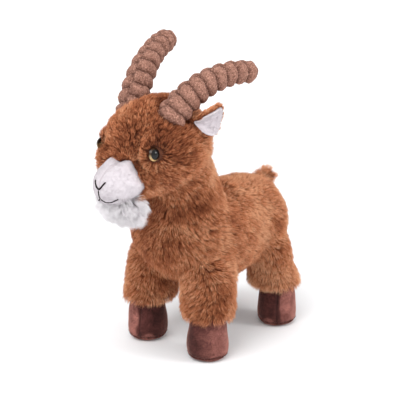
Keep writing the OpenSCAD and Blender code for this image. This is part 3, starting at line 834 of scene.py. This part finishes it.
def horn_rings(side):
    """Rings of the horn's skin, and how deep in a crease each of their points is."""
    sign = SIDES[side]
    across = 56
    t = np.linspace(-HORN_ROOT, 1, 190)
    climb0 = math.radians(HORN_RISE[side] + HORN_BEND[side] / 2)
    bend = math.radians(HORN_BEND[side])
    curve = HORN_LENGTH / bend
    climb = climb0 - bend * np.maximum(t, 0)
    y = curve * (math.sin(climb0) - np.sin(climb)) + np.minimum(t, 0) * HORN_LENGTH * math.cos(climb0)
    z = curve * (np.cos(climb) - math.cos(climb0)) + np.minimum(t, 0) * HORN_LENGTH * math.sin(climb0)
    angle = np.linspace(0, 2 * math.pi, across, endpoint=False)[None]
    outer = smoothstep(np.cos(angle), -0.12, 0.12)
    seam = np.exp(-((np.cos(angle) / 0.16) ** 2))
    phase = HORN_ROLLS * t[:, None] + 0.06 * np.sin(3 * angle + 5 * t[:, None])
    height = outer * roll(phase) + (1 - outer) * roll(phase + 0.5)
    taper = HORN_BASE + (HORN_TIP - HORN_BASE) * np.maximum(t, 0)[:, None]
    tip = np.sqrt(np.clip(1 - (np.clip(t - 0.9, 0, 1) / 0.1) ** 2, 0.003, 1))[:, None]
    root = np.sqrt(np.clip(1 - (np.clip(-t - 0.06, 0, 1) / (HORN_ROOT - 0.055)) ** 2, 0.003, 1))[:, None]
    radius = (taper - ROLL_DEPTH * (1 - height) - 0.9 * seam * height) * tip * root
    lateral = sign * radius * np.cos(angle)
    upward = radius * np.sin(angle)
    sin_c, cos_c = np.sin(climb)[:, None], np.cos(climb)[:, None]
    local = np.stack([lateral, y[:, None] - upward * sin_c, z[:, None] + upward * cos_c], 2)
    turn = math.radians(-sign * HORN_SPLAY)
    spin = np.array([[math.cos(turn), -math.sin(turn), 0], [math.sin(turn), math.cos(turn), 0], [0, 0, 1]])
    # How deep in a crease each point is, with the seam lines added; the horn's pile is darkened by it as
    # painted shade.
    crease = np.clip(1 - height, 0, 1) ** 1.4 + 0.35 * seam
    return local @ spin.T + PIVOT[f"horn_{side}_flex"], np.clip(crease, 0, 1)


def make_horn(side):
    rings, crease = horn_rings(side)
    name = f"horn_{side}"
    skin = lofted(f"{name}_pile", rings if side == "left" else rings[:, ::-1], [HORN_PILE])
    flat = (crease if side == "left" else crease[:, ::-1]).ravel()
    # Painted shade: the horn's pile darkens in its creases.
    set_values(skin.data, "crease", np.concatenate([flat, [0, 0]]))
    points = points_of(skin.data)
    curl = waves(points, 1.7, 61) * 0.2 + waves(points, 4.5, 62) * 0.22
    place_points(skin.data, points + normals_of(skin.data) * curl[:, None])
    rng = np.random.default_rng(63 + SIDES[side])
    root, normal, tri = scatter(skin.data, HORN_PER_MM2, rng)
    depth = np.concatenate([flat, [0, 0]])[triangles_of(skin.data)[tri]].mean(1)
    flow = unit(np.cross(normal, rng.normal(size=(len(root), 3))))
    pile = Pile(root, normal, flow, 2.8 - 1.0 * depth, 84.0, 35, 0.85, 1.5, 0.6, 64,
                swirl=0.8, jitter=0.35, density=HORN_PER_MM2, contrast=3.2)
    # Painted shade: curls deep in the creases take darker shades.
    shade = pile.shade(0, 3, 0.45 - 2.6 * depth, 0.15)
    strands = pile.piece(f"{name}_curls", np.arange(len(root)), HORN_SHADES, shade, [0, 1])
    dress(skin, name, [f"{name}_outer", f"{name}_inner", f"{name}_stuffing"])
    dress(strands, name, [])


for side in SIDES:
    make_horn(side)


# ---- Muzzle, nose and mouth --------------------------------------------------------------------
NAP_PER_MM2 = 3.4
STITCH_MM = 2.4


def seam_groove(across, along, depth_mm, width_mm):
    """How far a point sinks into a seam. across is its distance from the seam, and along is 1
    where the seam runs and 0 past its ends."""
    return depth_mm * np.exp(-((across / width_mm) ** 2)) * along


def short_nap(name, skin, start, length_mm, rng):
    """Fine white nap that stands nearly upright and leans away from start. It is left out of the
    seams."""
    root, normal, tri = scatter(skin.data, NAP_PER_MM2, rng)
    crease = np.empty(len(skin.data.vertices), np.float32)
    skin.data.attributes["crease"].data.foreach_get("value", crease)
    open_air = crease[triangles_of(skin.data)[tri]].mean(1) < 0.25
    root, normal = root[open_air], normal[open_air]
    flow = along_skin(unit(root - start + [0, 0, 0.001]), normal)
    pile = Pile(root, normal, flow, np.full(len(root), length_mm * 0.7), 70.0, 45, 0.24, 2.0, 0.0, 73,
                swirl=0.0, jitter=0.6, density=NAP_PER_MM2, contrast=0.35)
    return pile.piece(name, np.arange(len(root)), NAP_SHADES, pile.shade(0, 2, 0.6, 0.05), [0, 0])


def make_muzzle():
    """A boxy stuffed muzzle: two panels that meet in a centre seam, with a peak on each side of
    the notch where the brown fur comes down, and a chin panel."""
    nodes = ["muzzle_left", "muzzle_right", "chin_panel"]
    skin = copy_of_nodes("muzzle_pile_white", nodes + ["head_stuffing"])
    remeshed(skin, 1.6, 1)
    cut_off(skin, (0, FACE_Y - 0.6, 0), (0, 1, 0))
    points = points_of(skin.data)
    reach_back = 4.0 * smoothstep(points[:, 1], FACE_Y - 6, FACE_Y - 0.6)
    place_points(skin.data, points + reach_back[:, None] * [0, 1, 0])
    remeshed(skin, 1.9, 2)
    plump(skin, 0.7, 4.0)
    subdivide(skin)
    points, normals = points_of(skin.data), normals_of(skin.data)
    back = smoothstep(points[:, 1], FACE_Y - 15, FACE_Y - 1)
    x, z = points[:, 0], points[:, 2] - MUZZLE_Z
    wanted = muzzle_reach(points) + 0.8
    stretch = 1 + back * (wanted / np.maximum(np.hypot(x, z), 4) - 1) * (np.hypot(x, z) > 9)
    points[:, 0] = x * stretch
    points[:, 2] = MUZZLE_Z + z * stretch
    front = smoothstep(-points[:, 1], -FACE_Y, -FACE_Y + 4)
    centre = seam_groove(x, front * (z > 0), 1.3, 0.9)
    chin_edge = seam_groove(z + 11 + 0.12 * (points[:, 1] - FACE_Y), front, 0.35, 0.9)
    sunk = centre + chin_edge
    soft = waves(points, 16, 71) * 0.25
    place_points(skin.data, points + normals * (soft - sunk)[:, None])
    # Painted shade: the pile darkens with the depth of its seam grooves.
    set_values(skin.data, "crease", np.clip(sunk * 0.42, 0, 1))
    skin.data.materials.append(MUZZLE_PILE)
    rng = np.random.default_rng(72)
    nap = short_nap("muzzle_nap", skin, NOSE, 0.9, rng)
    dress(nap, "head", [])
    return skin


def front_of(tree, x, z, lift):
    """The point on a skin straight behind (x, z), lifted along the skin's normal."""
    place, normal = tree.ray_cast(Vector((x, -160, z)), Vector((0, 1, 0)))[:2]
    return np.array(place) + np.array(normal) * lift


def stitch_line(name, tree, outline, thick_mm, node):
    """An embroidered line: short, plump satin stitches end to end along the outline (x, z)."""
    outline = np.array(outline, float)
    spans = np.linalg.norm(np.diff(outline, axis=0), axis=1)
    length = spans.sum()
    where = np.linspace(0, length, int(length / 0.22))
    reach = np.concatenate([[0], np.cumsum(spans)])
    xs, zs = (np.interp(where, reach, outline[:, i]) for i in range(2))
    path = np.array([front_of(tree, x, z, 0.3) for x, z in zip(xs, zs)])
    way = unit(np.gradient(path, axis=0))
    out = unit(np.cross(np.cross(way, path - [0, FACE_Y, MUZZLE_Z]), way))
    side = np.cross(way, out)
    plumpness = 0.72 + 0.28 * np.abs(np.sin(math.pi * where / STITCH_MM)) ** 0.5
    ends = np.sqrt(np.clip(np.minimum(where, length - where) / 0.7, 0.04, 1))
    rings = []
    for i in range(len(path)):
        twist = 2 * math.pi * where[i] / STITCH_MM
        turn = np.linspace(0, 2 * math.pi, 12, endpoint=False)
        strand = 1 + 0.1 * np.cos(3 * (turn + twist))
        r = (thick_mm / 2 * plumpness[i] * ends[i] * strand)[:, None]
        rings.append(path[i] + r * (np.cos(turn)[:, None] * side[i] + np.sin(turn)[:, None] * out[i]))
    thread = lofted(name, rings, [THREAD])
    return dress(thread, "head", [node])


def curved(points, steps=8):
    """A smooth line through a few points (Catmull-Rom)."""
    p = np.array([points[0], *points, points[-1]], float)
    made = []
    for i in range(len(points) - 1):
        t = np.linspace(0, 1, steps, endpoint=False)[:, None]
        a, b, c, d = p[i: i + 4]
        cubic = 2 * b + (c - a) * t + (2 * a - 5 * b + 4 * c - d) * t**2
        made.append(0.5 * (cubic + (3 * b - a - 3 * c + d) * t**3))
    return np.concatenate([*made, p[-1:]])


NOSE_POINT = (0, 169.2)
ARM_END = (5.6, 176.4)
LIP = (0.4, 161.4)
SMILE = [LIP, (4.2, 158.9), (8.6, 159.6), (13.0, 162.4)]

muzzle = make_muzzle()
muzzle_tree = tree_of(muzzle)
for side, sign in SIDES.items():
    arm = [(sign * x, z) for x, z in curved([NOSE_POINT, (2.6, 171.9), ARM_END])]
    stitch_line(f"nostril_thread_{side}", muzzle_tree, arm, 1.35, "nostril_stitches")
    smile = [(sign * x, z) for x, z in curved(SMILE)]
    stitch_line(f"mouth_thread_{side}", muzzle_tree, smile, 0.95, "mouth_stitches")
stem = [NOSE_POINT, (0, LIP[1])]
stitch_line("lip_thread", muzzle_tree, stem, 0.95, "mouth_stitches")
dress(muzzle, "head", ["muzzle_left", "muzzle_right", "chin_panel"])


# ---- Beard -------------------------------------------------------------------------------------
BEARD_PER_MM2 = 6.0


def make_beard():
    """A round tuft of long fine pile that hangs under the muzzle, on a small stuffed core."""
    core = one_skin("beard_core", ["beard"], 1.8, 8)
    points = points_of(core.data)
    top = np.array([0, -90.0, 158.0])
    place_points(core.data, top + (points - top) * [0.8, 0.74, 0.62])
    rng = np.random.default_rng(81)
    root, normal = scatter(core.data, BEARD_PER_MM2, rng)[:2]
    keep = root[:, 2] < 157
    root, normal = root[keep], normal[keep]
    low, high = (np.array(c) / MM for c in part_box("beard"))
    middle = (low + high) / 2
    outward = (root - middle) * [0.06, 0.035, 0.0]
    flow = along_skin(outward + [0, 0.1, -1.0], normal, 0.6)
    length = 13.0 + 4.0 * waves(root, 5, 82)
    pile = Pile(root, normal, flow, length, 58.0, 10, 0.32, 3.0, 0.3, 83,
                swirl=0.26, jitter=0.14, stations=5, density=BEARD_PER_MM2, contrast=0.6)
    shade = pile.shade(0, 3, 1.3, 0.2)
    tuft = pile.piece("beard_pile", np.arange(len(root)), WHITE_SHADES, shade, [0, 0, 0, 0])
    core.data.materials.append(BEARD_BACKING)
    set_values(core.data, "crease", np.zeros(len(core.data.vertices)))
    dress(core, "head", ["beard"])
    dress(tuft, "head", [])


make_beard()


# ---- Ears --------------------------------------------------------------------------------------
EAR_TURN = (53.0, 66.0, 134.0)
EAR_LENGTH = 28.0
EAR_FUR_PER_MM2 = 3.6


def pinched(points, side):
    """Folds an ear in along its middle, deepest at its root, where it is gathered and sewn."""
    turn = Euler([math.radians(a) for a in EAR_TURN]).to_matrix()
    mirror = np.array([SIDES[side], 1, 1])
    pivot = PIVOT[f"ear_{side}_fold"] * mirror
    local = (points * mirror - pivot) @ np.array(turn)
    along = np.clip(local[:, 2] / EAR_LENGTH, 0, 1)
    fold = np.exp(-((local[:, 0] / 2.4) ** 2)) * (1 - along) ** 0.8
    local[:, 1] += 4.2 * fold
    local[:, 1] -= 0.035 * local[:, 0] ** 2 * (1 - along)
    return (local @ np.array(turn).T + pivot) * mirror


def make_ear(side):
    """A cupped leaf: fur on its back and along its rim, and short white pile inside."""
    name = f"ear_{side}"
    pivot = PIVOT[f"{name}_fold"]
    lining = subdivide(one_skin(f"{name}_lining_pile", [f"{name}_lining"], 0.9, 2))
    back = subdivide(one_skin(f"{name}_back_fabric", [f"{name}_back"], 0.9, 2))
    for obj, mat in ((lining, EAR_PILE), (back, BACKING)):
        place_points(obj.data, pinched(points_of(obj.data), side))
        obj.data.materials.append(mat)
        set_values(obj.data, "crease", np.zeros(len(obj.data.vertices)))
    inside = tree_of(lining)
    rng = np.random.default_rng(92 + SIDES[side])
    nap = short_nap(f"{name}_nap", lining, pivot, 1.1, rng)
    root, normal = scatter(back.data, EAR_FUR_PER_MM2, rng)[:2]
    facing_in = []
    for place, way in zip(root, normal):
        hit = inside.ray_cast(Vector(place + way * 0.05), Vector(way), 3.0)
        facing_in.append(hit[0] is not None)
    outside = ~np.array(facing_in)
    root, normal = root[outside], normal[outside]
    flow = along_skin(unit(root - pivot), normal)
    pile = Pile(root, normal, flow, np.full(len(root), 5.2), 60.0, 12, 0.42, 3.2, 0.35, 94,
                density=EAR_FUR_PER_MM2)
    fur = pile.piece(f"{name}_fur", np.arange(len(root)), FUR_SHADES, pile.shade(1, 4, 0.2), [0, 2])
    dress(lining, name, [f"{name}_lining"])
    dress(back, name, [f"{name}_back"])
    dress(nap, name, [])
    dress(fur, name, [])


for side in SIDES:
    make_ear(side)


# ---- Hooves ------------------------------------------------------------------------------------
# Radius of the boot at each height, from the flat of its sole to inside the trouser leg
HOOF_OUTLINE = [
    (0.0, 12.5), (0.4, 14.0), (1.6, 15.6), (3.6, 17.0), (7.0, 18.2), (12.0, 18.6),
    (20.0, 18.2), (29.0, 17.2), (37.0, 15.9), (45.0, 14.0),
]
# How far each hoof is turned about its own axis, in degrees from facing forwards
HOOF_TURN = {
    "leg_front_left": -55, "leg_front_right": 20, "leg_rear_left": 37, "leg_rear_right": -37,
}
# Where each hoof's painted sheen, a lighter side, begins and is full, in degrees round from its front seam
PAINTED_SHEEN_FROM = {leg: (4, 14) for leg in LEGS} | {"leg_front_left": (45, 150)}
SOLE_SEAM_Z = 4.2
FUZZ_PER_MM2 = 2.2


def painted_sheen_side(local, round_from_seam, begins, full):
    """1 where sheen is painted in as a lighter colour: on one side of the hoof and in a toe patch."""
    ragged = waves(local, 12, 103)
    beyond = smoothstep(round_from_seam + 5 * ragged, begins, full)
    patch = np.exp(-(((round_from_seam - full + 40) / 30) ** 2) - ((local[:, 2] / 12) ** 2))
    return np.maximum(beyond, 0.9 * smoothstep(patch + 0.1 * ragged, 0.4, 0.65))


def make_hoof(leg):
    """A stuffed boot of two suede panels and a sole, with their seams drawn in."""
    name = leg.replace("leg", "hoof")
    side = SIDES[leg.split("_")[2]]
    corners = [np.array(c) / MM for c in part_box(f"{name}_sole")]
    middle = (corners[0] + corners[1]) / 2 * [1, 1, 0]
    heights, radii = np.array(HOOF_OUTLINE).T
    z = np.concatenate([[0, 0.2], np.linspace(0.5, 45, 40)])
    r = np.interp(z, heights, radii)
    turn = np.linspace(0, 2 * math.pi, 48, endpoint=False)
    facing = math.radians(HOOF_TURN[leg] - 90)
    ahead = np.clip(np.cos(turn - facing), 0, 1)[None] ** 2
    toe = 1 + 0.06 * np.exp(-(((z - 8) / 8) ** 2))[:, None] * ahead
    reach = r[:, None] * toe
    rings = np.stack([reach * np.cos(turn), reach * np.sin(turn), np.tile(z[:, None], (1, 48))], 2) + middle
    skin = remeshed(lofted(f"{name}_suede", rings, []), 2.2, 1)
    plump(skin, 0.6, 4.0)
    subdivide(skin)
    points, normals = points_of(skin.data), normals_of(skin.data)
    local = points - middle
    across = local[:, 0] * -math.sin(facing) + local[:, 1] * math.cos(facing)
    bowed = across + 0.5 * np.sin(local[:, 2] / 9)
    on_wall = smoothstep(local[:, 2], SOLE_SEAM_Z - 1, SOLE_SEAM_Z + 1)
    front = seam_groove(bowed, on_wall, 0.75, 0.75)
    sole = seam_groove(local[:, 2] - SOLE_SEAM_Z, 1.0, 0.8, 0.75)
    pucker = waves(points, 2.6, 101) * np.exp(-(((local[:, 2] - SOLE_SEAM_Z) / 2.6) ** 2)) * 0.28
    soft = waves(points, 11, 102) * 0.35
    sunk = front + sole
    moved = points + normals * (soft + pucker - sunk)[:, None]
    moved[:, 2] = np.maximum(moved[:, 2], 0)
    place_points(skin.data, moved)
    # Painted shade: the suede darkens with the depth of its seam grooves.
    set_values(skin.data, "crease", np.clip(sunk * 0.75, 0, 0.85))
    forward = local[:, 0] * math.cos(facing) + local[:, 1] * math.sin(facing)
    round_from_seam = np.degrees(np.arctan2(side * bowed, forward))
    round_from_seam = np.where(round_from_seam < -150, round_from_seam + 360, round_from_seam)
    # Painted sheen: the nap attribute makes one side of the hoof and a toe patch lighter.
    set_values(skin.data, "nap", painted_sheen_side(local, round_from_seam, *PAINTED_SHEEN_FROM[leg]))
    skin.data.materials.append(SUEDE)
    rng = np.random.default_rng(104)
    root, normal = scatter(skin.data, FUZZ_PER_MM2, rng)[:2]
    edge = np.abs(root[:, 2] - SOLE_SEAM_Z - 0.4) < 1.5
    root, normal = root[edge], normal[edge]
    flow = unit(np.cross(normal, rng.normal(size=(len(root), 3))))
    pile = Pile(root, normal, flow, np.full(len(root), 1.1), 75.0, 20, 0.34, 1.4, 0.3, 105,
                density=FUZZ_PER_MM2)
    fuzz = pile.piece(f"{name}_seam_fuzz", np.arange(len(root)), SUEDE_SHADES, pile.shade(0, 2), [0, 0])
    dress(skin, leg, [f"{name}_outer", f"{name}_inner", f"{name}_sole"])
    dress(fuzz, leg, [])


for leg in LEGS:
    make_hoof(leg)


# ---- Eyes --------------------------------------------------------------------------------------
def finish_eyes():
    amber, black = amber_eye(), pupil_black()
    for side in SIDES:
        for part, mat in ((f"eye_{side}", amber), (f"pupil_{side}", black)):
            mesh = frame["nodes"][part].data
            mesh.materials.clear()
            mesh.materials.append(mat)


finish_eyes()


# ---- Camera, light and floor -------------------------------------------------------------------
def direction(azimuth, elevation):
    """The way to the camera or a lamp. azimuth is in degrees from the front, positive to the
    animal's left, and elevation in degrees above level."""
    a, e = math.radians(azimuth), math.radians(elevation)
    return Vector((math.sin(a) * math.cos(e), -math.cos(a) * math.cos(e), math.sin(e)))


def camera():
    data = bpy.data.cameras.new("camera")
    data.lens, data.sensor_width = 100, 36
    cam = bpy.data.objects.new("camera", data)
    bpy.context.scene.collection.objects.link(cam)
    target, back, distance = Vector((0, 0.0103, 0.1309)), direction(39.8, 17.1), 1.0
    cam.location = target + back * distance
    cam.rotation_mode = "QUATERNION"
    cam.rotation_quaternion = (-back).to_track_quat("-Z", "Y")
    bpy.context.scene.camera = cam


def soft_sun(name, azimuth, elevation, width, strength):
    """A distant soft light. width is the angle it fills, in degrees."""
    data = bpy.data.lights.new(name, "SUN")
    data.angle, data.energy = math.radians(width), strength
    lamp = bpy.data.objects.new(name, data)
    bpy.context.scene.collection.objects.link(lamp)
    from_lamp = -direction(azimuth, elevation)
    lamp.location = -from_lamp
    lamp.rotation_mode = "QUATERNION"
    lamp.rotation_quaternion = from_lamp.to_track_quat("-Z", "Y")


FLOOR_HALF_MM = 6000


def studio():
    scene = bpy.context.scene
    scene.view_settings.view_transform = "Standard"
    world = bpy.data.worlds.new("studio")
    world.use_nodes = True
    background = world.node_tree.nodes["Background"]
    background.inputs["Color"].default_value = (1, 1, 1, 1)
    background.inputs["Strength"].default_value = 0.84
    scene.world = world
    soft_sun("key", 5, 54, 44, 1.75)
    soft_sun("side", 112, 30, 20, 1.0)
    corners = np.array([[-1, -1, 0], [1, -1, 0], [1, 1, 0], [-1, 1, 0]]) * FLOOR_HALF_MM
    mesh = mesh_from("floor", corners, [np.array([[0, 1, 2, 3]])])
    new_object("floor", mesh, [new_material("floor", (0.93, 0.935, 0.945), 0.9)])


camera()
studio()
